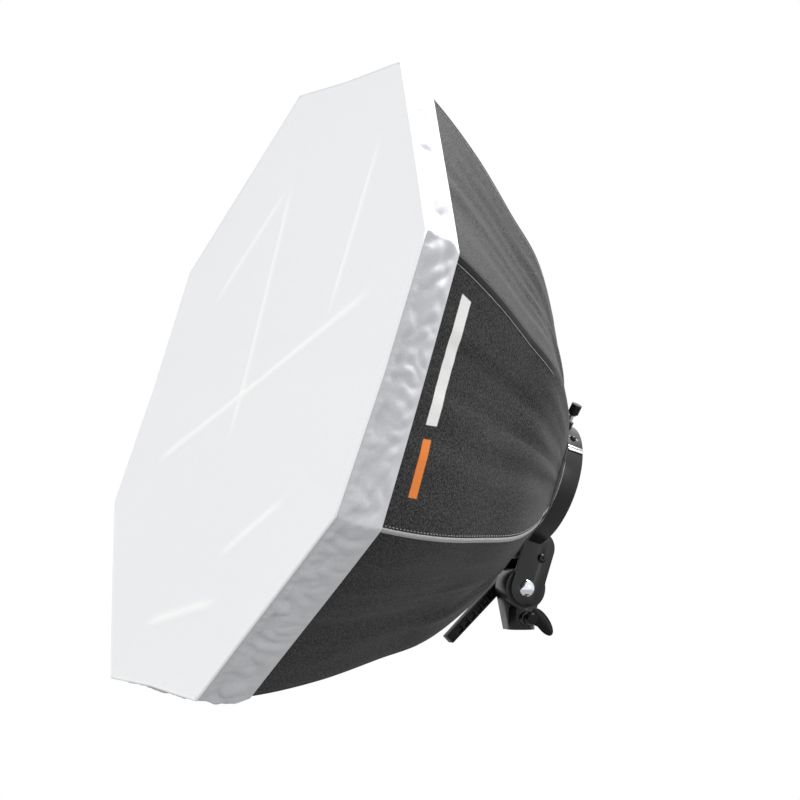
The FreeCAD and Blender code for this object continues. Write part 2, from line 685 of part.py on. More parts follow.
export("bracket_plate_near", in_head(near_plate()))
export("bracket_plate_far", in_head(far_plate()))
export("ring_lug", in_head(ring_lug()))
export("bracket_screws", in_head(bracket_screws()))
export("tilt_bolt", in_head(tilt_bolt()))
export("tilt_lever", tilt_lever())
export("lever_nut", lever_nut())

export("ring_band", in_head(ring_band()))
export("ring_seam_bar", in_head(ring_seam_bar()))
export("ring_rivets", in_head(ring_rivets()))
export("hinge_blocks", in_head(all_round(hinge_block)))
export("hinge_pins", in_head(all_round(hinge_pin)))

export("flash_rest", in_head(flash_rest()))
export("rest_pad", in_head(rest_pad()))
export("jaw_boss", in_head(jaw_boss()))
export("flash_jaw", in_head(flash_jaw()))
export("jaw_pad", in_head(jaw_pad()))
export("clamp_spindle", in_head(clamp_spindle()))
export("clamp_knob", in_head(clamp_knob()))

for number, azimuth in enumerate(rib_azimuths(), 1):
    export("rib_arm_%d" % number, in_head(spin(rib_arm(), azimuth)))
    export("rib_rod_%d" % number, in_head(spin(rib_rod(), azimuth)))
    export("rib_tip_%d" % number, in_head(spin(rib_tip(), azimuth)))
    export("cover_%d" % number, in_head(spin(cover(), azimuth)))

export("neck_collar", in_head(neck_collar()))
export("diffuser_front", in_head(diffuser_front()))
export("diffuser_skirt", in_head(diffuser_skirt()))
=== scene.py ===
# %% [markdown]
# # A folding octagonal softbox
# The hard parts (ring, bracket, ribs, clamp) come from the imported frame. This lesson gives them
# their finishes and makes the soft parts: black gores, a white front with its band, tapes,
# stitches and the neck at the ring. Lengths are in metres.

# %% Load the frame
import json
import math

import bmesh
import bpy
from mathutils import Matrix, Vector, noise


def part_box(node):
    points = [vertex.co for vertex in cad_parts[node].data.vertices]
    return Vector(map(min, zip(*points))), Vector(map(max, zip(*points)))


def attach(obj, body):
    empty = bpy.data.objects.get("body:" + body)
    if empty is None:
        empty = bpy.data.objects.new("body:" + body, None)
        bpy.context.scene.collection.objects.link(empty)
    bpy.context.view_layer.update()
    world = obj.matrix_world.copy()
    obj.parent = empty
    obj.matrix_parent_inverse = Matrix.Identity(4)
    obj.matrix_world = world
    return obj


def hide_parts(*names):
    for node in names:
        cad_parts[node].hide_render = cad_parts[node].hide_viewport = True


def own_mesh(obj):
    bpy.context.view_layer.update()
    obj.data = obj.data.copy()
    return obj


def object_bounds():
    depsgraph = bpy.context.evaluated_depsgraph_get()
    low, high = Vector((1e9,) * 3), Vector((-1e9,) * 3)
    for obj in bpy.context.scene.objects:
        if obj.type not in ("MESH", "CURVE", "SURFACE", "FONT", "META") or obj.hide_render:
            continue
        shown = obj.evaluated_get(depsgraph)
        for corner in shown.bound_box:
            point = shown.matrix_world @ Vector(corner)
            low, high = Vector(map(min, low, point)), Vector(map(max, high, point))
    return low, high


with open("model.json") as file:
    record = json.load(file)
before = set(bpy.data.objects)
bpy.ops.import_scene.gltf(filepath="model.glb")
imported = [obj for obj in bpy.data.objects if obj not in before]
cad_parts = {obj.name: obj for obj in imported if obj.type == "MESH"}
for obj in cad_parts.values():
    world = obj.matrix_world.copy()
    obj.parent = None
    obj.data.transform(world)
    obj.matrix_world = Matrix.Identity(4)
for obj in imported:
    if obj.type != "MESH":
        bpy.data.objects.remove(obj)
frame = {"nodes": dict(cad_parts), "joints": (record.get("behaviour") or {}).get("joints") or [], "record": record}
CAD_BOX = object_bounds()
JOINTS = {joint["name"]: joint for joint in frame["joints"]}

# %% [markdown]
# ## Where the head stands
# Eight rib hinges lie on a circle round the optical axis, so their middle is a point of that
# axis, and the way the diffuser comes off is the axis itself. Every soft part is drawn with
# depth (behind the front plane), azimuth and radius, and put in place with these directions.

# %% Head directions
RIBS = 8
HALF = math.pi / RIBS                    # half the angle between two ribs
FIRST_AZIMUTH = HALF
HINGE_DEPTH = 0.357                      # the rib hinges' depth behind the front plane

hinges = [Vector(JOINTS[f"rib_fold_{k}"]["pos_m"]) for k in range(1, RIBS + 1)]
AXIS_POINT = sum(hinges, Vector()) / RIBS
FORWARD = Vector(JOINTS["diffuser_off"]["axis"]).normalized()
ACROSS = Vector((1, 0, 0))
UP = FORWARD.cross(ACROSS)


def radial(azimuth):
    return ACROSS * math.cos(azimuth) + UP * math.sin(azimuth)


def head_point(depth, azimuth, radius):
    return AXIS_POINT + FORWARD * (HINGE_DEPTH - depth) + radial(azimuth) * radius


def rib_azimuth(k):
    return FIRST_AZIMUTH + 2 * HALF * (k - 1)


print("optical axis leaves along", tuple(round(c, 3) for c in FORWARD))

# %% [markdown]
# ## The line of a rib
# A bowed rod lifts the cloth into a smooth ridge, steeper towards the ring. A few points and a
# Catmull-Rom curve through them are enough.

# %% Ridge line
RIDGE = [(0.0, 0.398), (0.05, 0.383), (0.13, 0.340), (0.20, 0.292), (0.26, 0.248), (0.32, 0.173),
         (0.355, 0.112)]
CANOPY_END = RIDGE[-1][0]
SKIRT_DEPTH = 0.050
SIDEWAYS_STRETCH = 0.050                 # the near side is pulled a little wider
STRETCH_END = 0.24
LOOSE_RIB = 8                            # one rod bows out further than the others
LOOSE_BOW = 0.030
LOOSE_SPAN = (0.015, 0.335)


def line_radius(depth):
    """Radius of the common ridge line at this depth."""
    points = [RIDGE[0]] + RIDGE + [RIDGE[-1]]
    for i in range(1, len(points) - 2):
        (d0, r0), (d1, r1), (d2, r2), (d3, r3) = points[i - 1:i + 3]
        if depth <= d2 or i == len(points) - 3:
            t = (depth - d1) / (d2 - d1)
            before = (r2 - r0) / (d2 - d0) * (d2 - d1)
            after = (r3 - r1) / (d3 - d1) * (d2 - d1)
            return ((2 * t**3 - 3 * t**2 + 1) * r1 + (t**3 - 2 * t**2 + t) * before
                    + (3 * t**2 - 2 * t**3) * r2 + (t**3 - t**2) * after)


def ridge_radius(depth, azimuth=math.pi / 2):
    """Radius of the ridge line at this depth, with what the azimuth changes."""
    wider = SIDEWAYS_STRETCH * max(0.0, math.cos(azimuth)) ** 2 * max(0.0, 1.0 - depth / STRETCH_END)
    start, end = LOOSE_SPAN
    along = min(1.0, max(0.0, (depth - start) / (end - start)))
    apart = abs(math.remainder(azimuth - rib_azimuth(LOOSE_RIB), 2 * math.pi)) / (2 * HALF)
    bow = LOOSE_BOW * math.sin(math.pi * along) ** 0.7 * max(0.0, 1.0 - apart)
    return line_radius(depth) * (1 + wider) + bow


print("radius half way back:", round(ridge_radius(0.18), 3))

# %% [markdown]
# ## Helpers for meshes
# Each finished piece keeps its place in its mesh, so its object stays at the origin. Modifiers
# are baked with new_from_object before the piece is given to a body.

# %% Mesh helpers
SCENE = bpy.context.scene


def new_object(name, verts, faces, materials, uvs=None):
    mesh = bpy.data.meshes.new(name)
    mesh.from_pydata([tuple(v) for v in verts], [], faces)
    for material in materials:
        mesh.materials.append(material)
    if uvs is not None:
        layer = mesh.uv_layers.new(name="cloth")
        for loop in mesh.loops:
            layer.data[loop.index].uv = uvs[loop.vertex_index]
    mesh.update()
    piece = bpy.data.objects.new(name, mesh)
    SCENE.collection.objects.link(piece)
    return piece


def grid_faces(rows, columns, closed=False):
    """Quads of a grid of vertices; closed joins the last column to the first."""
    faces = []
    for i in range(rows - 1):
        for j in range(columns if closed else columns - 1):
            k = (j + 1) % columns
            faces.append((i * columns + j, (i + 1) * columns + j, (i + 1) * columns + k, i * columns + k))
    return faces


def smooth(piece):
    for polygon in piece.data.polygons:
        polygon.use_smooth = True
    return piece


def bake(piece):
    """Turn the piece's modifiers into plain mesh."""
    depsgraph = bpy.context.evaluated_depsgraph_get()
    mesh = bpy.data.meshes.new_from_object(piece.evaluated_get(depsgraph))
    old = piece.data
    piece.modifiers.clear()
    if piece.type == "MESH":
        piece.data = mesh
        return piece
    name = piece.name
    bpy.data.objects.remove(piece)
    if old.users == 0:
        bpy.data.curves.remove(old)
    solid = bpy.data.objects.new(name, mesh)
    SCENE.collection.objects.link(solid)
    return solid


# %% [markdown]
# ## Finishes
# All patterns are procedural and read Object coordinates (the piece's own metres), so they
# stay on the surface. A small builder keeps the node work short: it takes a grain size, how
# far the grain changes the colour, and how deep it is.

# %% Material builder
def finish(name, dark, light, roughness, grain, depth, metallic=0.0, stretch=(1, 1, 1), spread=(0.35, 0.65),
           rough_change=0.12, detail=3.0, coat=0.0, sheen=0.0,
           gloss=0.5):
    """A finish whose colour runs from dark to light over a noise of this grain (in metres)."""
    material = bpy.data.materials.new(name)
    material.use_nodes = True
    nodes = material.node_tree.nodes
    links = material.node_tree.links
    shader = nodes["Principled BSDF"]
    shader.inputs["Metallic"].default_value = metallic
    shader.inputs["Coat Weight"].default_value = coat
    shader.inputs["Specular IOR Level"].default_value = gloss
    shader.inputs["Sheen Weight"].default_value = sheen
    place = nodes.new("ShaderNodeTexCoord")
    mapping = nodes.new("ShaderNodeMapping")
    mapping.inputs["Scale"].default_value = stretch
    links.new(place.outputs["Object"], mapping.inputs["Vector"])
    texture = nodes.new("ShaderNodeTexNoise")
    texture.inputs["Scale"].default_value = 1.0 / grain
    texture.inputs["Detail"].default_value = detail
    links.new(mapping.outputs["Vector"], texture.inputs["Vector"])
    ramp = nodes.new("ShaderNodeValToRGB")
    ramp.color_ramp.elements[0].position = spread[0]
    ramp.color_ramp.elements[0].color = (*dark, 1)
    ramp.color_ramp.elements[1].position = spread[1]
    ramp.color_ramp.elements[1].color = (*light, 1)
    links.new(texture.outputs["Fac"], ramp.inputs["Fac"])
    links.new(ramp.outputs["Color"], shader.inputs["Base Color"])
    rough = nodes.new("ShaderNodeMapRange")
    rough.inputs["To Min"].default_value = roughness - rough_change / 2
    rough.inputs["To Max"].default_value = roughness + rough_change / 2
    links.new(texture.outputs["Fac"], rough.inputs["Value"])
    links.new(rough.outputs["Result"], shader.inputs["Roughness"])
    bump = nodes.new("ShaderNodeBump")
    bump.inputs["Strength"].default_value = 0.6
    bump.inputs["Distance"].default_value = depth
    links.new(texture.outputs["Fac"], bump.inputs["Height"])
    links.new(bump.outputs["Normal"], shader.inputs["Normal"])
    return material


# %% Metals, mouldings and rubber
ENAMEL = finish("black enamel", (0.006, 0.006, 0.007), (0.011, 0.011, 0.012), 0.30, 0.0009, 0.00003,
                gloss=0.42)
BLACKENED = finish("blackened steel", (0.012, 0.012, 0.013), (0.035, 0.035, 0.036), 0.33, 0.0012, 0.00003,
                   0.7)
PLASTIC = finish("black moulding", (0.003, 0.003, 0.004), (0.007, 0.007, 0.008), 0.34, 0.0007, 0.00005,
                 gloss=0.16)
CHROME = finish("chrome", (0.78, 0.81, 0.86), (0.86, 0.88, 0.92), 0.12, 0.004, 0.00001, 1.0,
                rough_change=0.06)
ZINC = finish("zinc plate", (0.42, 0.42, 0.43), (0.60, 0.60, 0.61), 0.34, 0.002, 0.00002, 1.0)
SPRING = finish("spring steel", (0.32, 0.32, 0.34), (0.50, 0.50, 0.52), 0.30, 0.001, 0.00002, 1.0,
                stretch=(1, 1, 0.2))
BRASS = finish("turned brass", (0.60, 0.42, 0.16), (0.75, 0.54, 0.22), 0.3, 0.001, 0.00002, 1.0)
RUBBER = finish("rubber", (0.012, 0.012, 0.012), (0.028, 0.028, 0.028), 0.8, 0.0008, 0.0001)
SLOT_FINISH = {"black_enamel": ENAMEL, "black_steel": BLACKENED, "black_plastic": PLASTIC, "chrome": CHROME,
               "bright_steel": ZINC, "rod_steel": SPRING, "brass": BRASS, "rubber": RUBBER}
print(len(SLOT_FINISH), "hard finishes")

# %% [markdown]
# ## Cloth finishes
# The gores are a coarse coated cloth: black threads with paler flecks where the coating wears
# off the high points. The inside is silvered. The front is a bright white nylon, and the
# bindings are pale grey tape.

# %% Cloth
BLACK_CLOTH = finish("black coated cloth", (0.002, 0.002, 0.002), (0.050, 0.049, 0.050), 0.58, 0.0020,
                     0.0007, spread=(0.40, 0.64), detail=4.0, sheen=0.02, gloss=0.20)
SILVER_CLOTH = finish("silver lining", (0.55, 0.56, 0.58), (0.72, 0.73, 0.75), 0.38, 0.006, 0.0004, 0.6)
WHITE_CLOTH = finish("white nylon", (0.85, 0.855, 0.87), (0.90, 0.905, 0.915), 0.7, 0.0011, 0.00008)
# The band is the front's white nylon painted a darker grey: painted shade on the band.
SHADED_BAND_NYLON = finish("white band", (0.50, 0.51, 0.53), (0.58, 0.59, 0.61), 0.7, 0.0011, 0.0001)
GREY_TAPE = finish("grey binding tape", (0.24, 0.24, 0.24), (0.42, 0.42, 0.41), 0.7, 0.0014, 0.0003)
BLACK_TAPE = finish("black tape", (0.002, 0.002, 0.002), (0.004, 0.004, 0.004), 0.32, 0.0016, 0.0001,
                    gloss=0.22)
THREAD = finish("grey thread", (0.20, 0.20, 0.20), (0.34, 0.34, 0.33), 0.6, 0.0006, 0.0001)


def painted_highlight_lines(material, attribute, colour):
    """Let a material turn towards a colour where the piece's own attribute says so."""
    nodes = material.node_tree.nodes
    links = material.node_tree.links
    shader = nodes["Principled BSDF"]
    amount = nodes.new("ShaderNodeAttribute")
    amount.attribute_name = attribute
    mix = nodes.new("ShaderNodeMix")
    mix.data_type = "RGBA"
    links.new(amount.outputs["Fac"], mix.inputs[0])
    links.new(shader.inputs["Base Color"].links[0].from_socket, mix.inputs[6])
    mix.inputs[7].default_value = (*colour, 1)
    links.new(mix.outputs[2], shader.inputs["Base Color"])


# Where the attribute 'pressed' is high, the white nylon is painted nearly pure white: a painted highlight on the
# fold ridges.
painted_highlight_lines(WHITE_CLOTH, "pressed", (0.985, 0.985, 0.985))


def printed_cloth(name, stripes, edge=0.0004):
    """Black cloth with plain printed stripes, each between two corners of the cloth's own map."""
    material = BLACK_CLOTH.copy()
    material.name = name
    nodes = material.node_tree.nodes
    links = material.node_tree.links
    shader = nodes["Principled BSDF"]
    flat = nodes.new("ShaderNodeUVMap")
    flat.uv_map = "cloth"
    split = nodes.new("ShaderNodeSeparateXYZ")
    links.new(flat.outputs["UV"], split.inputs["Vector"])
    for low, high, colour in stripes:
        inside = None
        for axis, index in (("X", 0), ("Y", 1)):
            for limit, side in ((low[index], -1), (high[index], 1)):
                step = nodes.new("ShaderNodeMapRange")
                step.inputs["From Min"].default_value = limit + side * edge
                step.inputs["From Max"].default_value = limit - side * edge
                links.new(split.outputs[axis], step.inputs["Value"])
                if inside is None:
                    inside = step.outputs["Result"]
                    continue
                both = nodes.new("ShaderNodeMath")
                both.operation = "MULTIPLY"
                links.new(inside, both.inputs[0])
                links.new(step.outputs["Result"], both.inputs[1])
                inside = both.outputs["Value"]
        mix = nodes.new("ShaderNodeMix")
        mix.data_type = "RGBA"
        below = shader.inputs["Base Color"].links[0].from_socket
        mix.inputs[7].default_value = (*colour, 1)
        links.new(inside, mix.inputs[0])
        links.new(below, mix.inputs[6])
        links.new(mix.outputs[2], shader.inputs["Base Color"])
    return material


PRINT_WHITE = (0.74, 0.74, 0.73)
PRINT_ORANGE = (0.70, 0.20, 0.035)
UPPER_PRINT = printed_cloth("upper print on black", [((-0.170, 0.074), (-0.030, 0.092), PRINT_WHITE)])
LOWER_PRINT = printed_cloth("lower print on black", [((0.108, 0.074), (0.170, 0.092), PRINT_WHITE),
                                                     ((0.036, 0.076), (0.094, 0.089), PRINT_ORANGE)])

# %% [markdown]
# ## Hard parts keep their shape
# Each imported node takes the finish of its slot. Castings and mouldings also need soft edges,
# because a perfectly sharp edge never catches the light. A copy is cleaned up, bevelled and
# put in the node's place.

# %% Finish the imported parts
SLOT_OF = {part["node"]: part["material_slot"] for part in frame["record"]["subparts"]}
BODY_OF = {node: body for body, nodes in frame["record"]["behaviour"]["bodies"].items() for node in nodes}
for node, thing in frame["nodes"].items():
    if SLOT_OF[node] in SLOT_FINISH:
        thing.data.materials.clear()
        thing.data.materials.append(SLOT_FINISH[SLOT_OF[node]])
SOFT_EDGES = {"stand_socket": 0.0016, "tilt_lever": 0.0009, "bracket_plate_near": 0.0006,
              "bracket_plate_far": 0.0006, "ring_lug": 0.0010, "ring_band": 0.0006, "ring_seam_bar": 0.0005,
              "flash_jaw": 0.0005, "flash_rest": 0.0005, "clamp_knob": 0.0003, "bracket_screws": 0.0004}


def soften(node, width):
    """A copy of the node with its edges rounded, standing for the node."""
    mesh = frame["nodes"][node].data.copy()
    piece = bpy.data.objects.new("soft_" + node, mesh)
    SCENE.collection.objects.link(piece)
    work = bmesh.new()
    work.from_mesh(mesh)
    bmesh.ops.remove_doubles(work, verts=work.verts, dist=2e-6)
    bmesh.ops.dissolve_limit(work, angle_limit=math.radians(1.0), verts=work.verts, edges=work.edges)
    work.to_mesh(mesh)
    work.free()
    bevel = piece.modifiers.new("edges", "BEVEL")
    bevel.width = width
    bevel.segments = 2
    bevel.limit_method = "ANGLE"
    bevel.angle_limit = math.radians(35)
    bevel.harden_normals = False
    bake(piece)
    for polygon in piece.data.polygons:
        polygon.use_smooth = True
    piece.data.set_sharp_from_angle(angle=math.radians(32))
    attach(piece, BODY_OF[node])
    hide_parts(node)
    return piece


for node, width in SOFT_EDGES.items():
    soften(node, width)
print("softened", len(SOFT_EDGES), "parts")

# %% [markdown]
# ## Thumb screw leaf
# The stand screw ends in a moulded leaf that a thumb can push. The real one is a smooth blend
# of hub and leaf, so a few stretched spheres and a turned hub are joined and remeshed, which
# melts them together.

# %% Thumb leaf
leaf_low = Vector(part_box("stand_screw_paddle")[0])
shank_low, shank_high = [Vector(c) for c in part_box("stand_screw_shank")]
HUB_RADIUS = 0.0075
HUB_AT = Vector((leaf_low.x + 0.0045, 0, (shank_low.z + shank_high.z) / 2))
LEAF_AT = HUB_AT + Vector((0.0, 0.0150, -0.0034))
LEAF_SLOPE = math.radians(-53)


def ellipsoid(work, middle, size, turn):
    """Add a stretched sphere; size is its three half lengths along turn's columns."""
    made = bmesh.ops.create_uvsphere(work, u_segments=32, v_segments=18, radius=1.0)["verts"]
    for vert in made:
        local = Vector((vert.co.x * size[0], vert.co.y * size[1], vert.co.z * size[2]))
        vert.co = middle + turn[0] * local.x + turn[1] * local.y + turn[2] * local.z


out = Vector((0, math.cos(LEAF_SLOPE), math.sin(LEAF_SLOPE)))
thin = Vector((1, 0, 0))
wide = thin.cross(out)
work = bmesh.new()
ellipsoid(work, LEAF_AT, (0.0205, 0.0088, 0.0024), (out, wide, thin))
ellipsoid(work, LEAF_AT + thin * 0.0012, (0.0165, 0.0052, 0.0026), (out, wide, thin))
bridge_at = HUB_AT.lerp(LEAF_AT, 0.5) + Vector((0, -0.001, 0.002))
ellipsoid(work, bridge_at, (0.0105, 0.0072, 0.0026), (out, wide, thin))
hub = bmesh.ops.create_cone(work, cap_ends=True, segments=40, radius1=HUB_RADIUS, radius2=HUB_RADIUS * 0.86,
                            depth=0.009)["verts"]
for vert in hub:
    x, y, z = vert.co
    vert.co = HUB_AT + Vector((z, x, y))
mesh = bpy.data.meshes.new("thumb_leaf")
work.to_mesh(mesh)
work.free()
thumb_leaf = bpy.data.objects.new("thumb_leaf", mesh)
SCENE.collection.objects.link(thumb_leaf)
mesh.materials.append(PLASTIC)
remesh = thumb_leaf.modifiers.new("melt", "REMESH")
remesh.mode = "VOXEL"
remesh.voxel_size = 0.0005
relax = thumb_leaf.modifiers.new("relax", "SMOOTH")
relax.iterations = 6
bake(thumb_leaf)
smooth(thumb_leaf)
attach(thumb_leaf, "stand_screw")
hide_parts("stand_screw_paddle")
print("thumb leaf:", len(thumb_leaf.data.polygons), "faces")

# %% [markdown]
# ## How the cloth lies between ribs
# Between two ribs the cloth is pulled nearly flat, sinks a little in the middle and wrinkles
# where it is gathered towards the ring. One function of azimuth and depth gives that height
# for every gore, so neighbouring gores meet exactly at the cut.

# %% Cloth height
SAG = 0.0065                             # how far the middle of a panel sinks
WRINKLE = 0.0046


def bell(value, middle, width):
    return math.exp(-((value - middle) / width) ** 2)


def panel_radius(azimuth, depth):
    """Radius of the cloth at this azimuth and depth."""
    turn = (azimuth - FIRST_AZIMUTH) / (2 * HALF)
    from_rib = abs(turn - round(turn)) * 2           # 0 on a rib, 1 in the middle of a panel
    flat_radius = ridge_radius(depth, azimuth) * math.cos(HALF) / math.cos(HALF * (1 - from_rib))
    back = depth / CANOPY_END
    sink = SAG * math.sin(from_rib * math.pi / 2) ** 2 * math.sin(math.pi * min(1.0, back * 1.05)) ** 0.8
    across = Vector((math.cos(azimuth), math.sin(azimuth), 0))
    long_folds = noise.noise(Vector((across.x * 9, across.y * 9, back * 1.3 + 3)))
    narrow_folds = noise.noise(Vector((across.x * 21, across.y * 21, back * 1.8 + 8)))
    near_ring = noise.noise(Vector((across.x * 11 + 5, across.y * 11, back * 5)))
    small = noise.noise(Vector((across.x * 20, across.y * 20 + 9, back * 9)))
    loose = math.sin(from_rib * math.pi / 2) ** 1.2
    height = long_folds * 1.1 + narrow_folds * 0.5 + near_ring * bell(back, 0.80, 0.2) * 1.5 + small * 0.2
    edge = min(1.0, back / 0.2)
    hold = 1.0 - max(0.0, (back - 0.93) / 0.07) * 0.7
    return flat_radius - sink + WRINKLE * height * loose * edge * hold


# %% [markdown]
# ## Gores
# The canopy is one sewn skin, but it folds with the ribs, so it is made as a gore for each rib,
# from the middle of one panel to the middle of the next. Each gore is black outside and silver
# inside. Each gore is carried by its rib.

# %% Gore function
GORE_COLUMNS = 33
GORE_ROWS = 58
CLOTH_THICKNESS = 0.0008
RIM_HEM = 0.002


def gore(k, cloth):
    rib = rib_azimuth(k)
    verts = []
    uvs = []
    length = 0.0
    for i in range(GORE_ROWS):
        depth = RIM_HEM + (CANOPY_END - RIM_HEM) * i / (GORE_ROWS - 1)
        if i:
            length += (head_point(depth, rib, ridge_radius(depth)) - last).length
        last = head_point(depth, rib, ridge_radius(depth))
        for j in range(GORE_COLUMNS):
            turn = 2.0 * j / (GORE_COLUMNS - 1) - 1.0
            azimuth = rib + HALF * turn
            radius = panel_radius(azimuth, depth)
            verts.append(head_point(depth, azimuth, radius))
            uvs.append((radius * math.sin(HALF * turn), length))
    piece = new_object(f"gore_{k}", verts, grid_faces(GORE_ROWS, GORE_COLUMNS), [cloth, SILVER_CLOTH], uvs)
    area = sum(polygon.area for polygon in piece.data.polygons)
    width = 2.2 * ridge_radius(0) * math.sin(HALF)
    wall = piece.modifiers.new("lining", "SOLIDIFY")
    wall.thickness = CLOTH_THICKNESS
    wall.offset = -1
    wall.use_rim = True
    wall.material_offset = 1
    bake(piece)
    smooth(piece)
    piece.data.set_sharp_from_angle(angle=math.radians(40))
    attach(piece, f"rib_{k}")
    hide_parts(f"cover_{k}")
    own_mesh(piece)
    return piece, width, length, area


# %% Make the gores
CLOTH_OF = {1: UPPER_PRINT, 8: LOWER_PRINT}
for k in range(1, RIBS + 1):
    piece, width, length, area = gore(k, CLOTH_OF.get(k, BLACK_CLOTH))
print(f"gore cut {width:.3f} by {length:.3f} m, area {area:.4f} m2, faces {len(piece.data.polygons)}")

# %% [markdown]
# ## Neck
# At the ring the canopy is gathered into a short soft neck that turns in to the steel. Its front
# edge meets the gores; its hem is round.

# %% Neck
NECK_LINE = [(CANOPY_END, 1.000, 0.0), (0.3600, 0.940, 0.10), (0.3640, 0.868, 0.30), (0.3672, 0.805, 0.55),
             (0.3690, 0.758, 0.78), (0.3702, 0.722, 0.95), (0.3706, 0.702, 1.0)]
NECK_COLUMNS = 192
verts = []
for depth, share, roundness in NECK_LINE:
    for j in range(NECK_COLUMNS):
        azimuth = FIRST_AZIMUTH + 2 * math.pi * j / NECK_COLUMNS
        eight_sided = panel_radius(azimuth, CANOPY_END) * share
        circle = ridge_radius(CANOPY_END) * share
        pucker = 0.0007 * math.sin(azimuth * 31) * roundness * (1 - roundness) * 4
        verts.append(head_point(depth, azimuth, eight_sided * (1 - roundness) + circle * roundness + pucker))
neck = new_object("neck", verts, grid_faces(len(NECK_LINE), NECK_COLUMNS, closed=True), [BLACK_CLOTH])
wall = neck.modifiers.new("wall", "SOLIDIFY")
wall.thickness = 0.0007
wall.offset = -1
bake(neck)
smooth(neck)
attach(neck, "head")
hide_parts("neck_collar")

# %% [markdown]
# ## White front
# The diffuser's front is an eight-sided sheet of white nylon. It is drawn as rings from the middle
# to the rim, leans out a little at the bottom where the band is slack, and keeps the lines along
# which it was folded for storage.

# %% Front sheet
FRONT_RINGS = 44
SIDE_STEPS = 22
FRONT_COLUMNS = RIBS * SIDE_STEPS
RIM_RADIUS = 0.4025
RIM_STRETCH = 0.042                      # the rim's share of the near side's pull
FRONT_AT = -0.0030                       # depth of the sheet
LEAN = 0.012                             # how far the bottom stands forward


def octagon(azimuth):
    """Radius of a unit octagon whose corners are on the ribs."""
    turn = (azimuth - FIRST_AZIMUTH) / (2 * HALF)
    from_middle = abs(turn - math.floor(turn) - 0.5) * 2
    return math.cos(HALF) / math.cos(HALF * from_middle)


def rim_radius(azimuth):
    return RIM_RADIUS * octagon(azimuth) * (1 + RIM_STRETCH * max(0.0, math.cos(azimuth)))


def front_depth(azimuth, share):
    return FRONT_AT + LEAN * min(0.0, math.sin(azimuth)) * share


verts = []
shares = []
for i in range(FRONT_RINGS + 1):
    share = max(i / FRONT_RINGS, 0.010)
    for j in range(FRONT_COLUMNS):
        azimuth = FIRST_AZIMUTH + 2 * math.pi * j / FRONT_COLUMNS
        verts.append(head_point(front_depth(azimuth, share), azimuth, share * rim_radius(azimuth)))
        shares.append(share)
front_faces = grid_faces(FRONT_RINGS + 1, FRONT_COLUMNS, closed=True)
front = new_object("front_sheet", verts, front_faces, [WHITE_CLOTH])

# %% [markdown]
# ## Let the front settle
# The cloth modifier grows the sheet slightly (a negative shrink) with its border pinned, so it
# buckles a few millimetres. The movement is capped, to stay within a real sheet's slack.

# %% Cloth simulation
SETTLE_FRAMES = 20
SETTLE_CAP = 0.005


def settle(piece, shares):
    """Let a sheet buckle; shares run from 0 in its middle to 1 at its pinned border."""
    rest = [v.co.copy() for v in piece.data.vertices]
    group = piece.vertex_groups.new(name="border")
    for index, share in enumerate(shares):
        group.add([index], 1.0 if share == 1.0 else 0.0, "REPLACE")
    cloth = piece.modifiers.new("settle", "CLOTH")
    settings = cloth.settings
    settings.quality = 6
    settings.mass = 0.12
    settings.tension_stiffness = 20
    settings.compression_stiffness = 12
    settings.shear_stiffness = 8
    settings.bending_stiffness = 0.08
    settings.vertex_group_mass = "border"
    settings.shrink_min = -0.006
    settings.effector_weights.gravity = 0.25
    cloth.collision_settings.use_collision = False
    for step in range(1, SETTLE_FRAMES + 1):
        SCENE.frame_set(step)
    bake(piece)
    SCENE.frame_set(1)
    for before, vert, share in zip(rest, piece.data.vertices, shares):
        move = vert.co - before
        cap = SETTLE_CAP * (1.0 - share ** 5)
        if move.length > cap:
            vert.co = before + move.normalized() * cap
    piece.vertex_groups.clear()
    piece.data.update()


settle(front, shares)

# %% [markdown]
# ## Storage folds
# A fold that has been pressed stays as a low straight ridge that fades at both ends. Each one
# is given by the way it runs, how far it passes from the sheet's middle, and the stretch of it
# that still shows. They are raised after the simulation, on a finer mesh, so they stay crisp.

# %% Raise the folds
FOLD_HEIGHT = 0.0015
FOLD_WIDTH = 0.0048
FOLD_FADE = 0.04
STORAGE_FOLDS = [(100, 0.05, 0.10, 0.13), (20, 0.0, 0.0, 0.25), (90, -0.16, 0.18, 0.07),
                 (45, 0.25, 0.0, 0.06), (10, -0.28, -0.05, 0.07), (25, -0.22, 0.05, 0.05)]


def fold_height(x, y):
    """Height of all the folds at this place of the sheet."""
    height = 0.0
    for way, distance, middle, reach in STORAGE_FOLDS:
        turn = math.radians(way)
        along = x * math.cos(turn) + y * math.sin(turn)
        aside = y * math.cos(turn) - x * math.sin(turn) - distance
        shown = min(1.0, max(0.0, (reach - abs(along - middle)) / FOLD_FADE + 1.0))
        height += bell(aside, 0.0, FOLD_WIDTH) * shown
    return height * FOLD_HEIGHT


work = bmesh.new()
work.from_mesh(front.data)
work.verts.ensure_lookup_table()
first_ring = work.verts[:FRONT_COLUMNS]
middle = sum((vert.co for vert in first_ring), Vector()) / FRONT_COLUMNS
bmesh.ops.pointmerge(work, verts=first_ring, merge_co=middle)
work.to_mesh(front.data)
work.free()
finer = front.modifiers.new("finer", "SUBSURF")
finer.levels = 1
finer.render_levels = 1
finer.boundary_smooth = "PRESERVE_CORNERS"
bake(front)
# The fold height is kept as 'pressed'. It paints the ridges lighter in the white nylon, as a painted highlight.
pressed = front.data.attributes.new("pressed", "FLOAT", "POINT")
for vert in front.data.vertices:
    from_middle = vert.co - AXIS_POINT
    height = fold_height(from_middle.dot(ACROSS), from_middle.dot(UP))
    vert.co += FORWARD * height
    pressed.data[vert.index].value = min(1.0, height / FOLD_HEIGHT)
wall = front.modifiers.new("wall", "SOLIDIFY")
wall.thickness = 0.0006
wall.offset = -1
bake(front)
smooth(front)
front.data.set_sharp_from_angle(angle=math.radians(50))
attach(front, "diffuser")
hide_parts("diffuser_front")

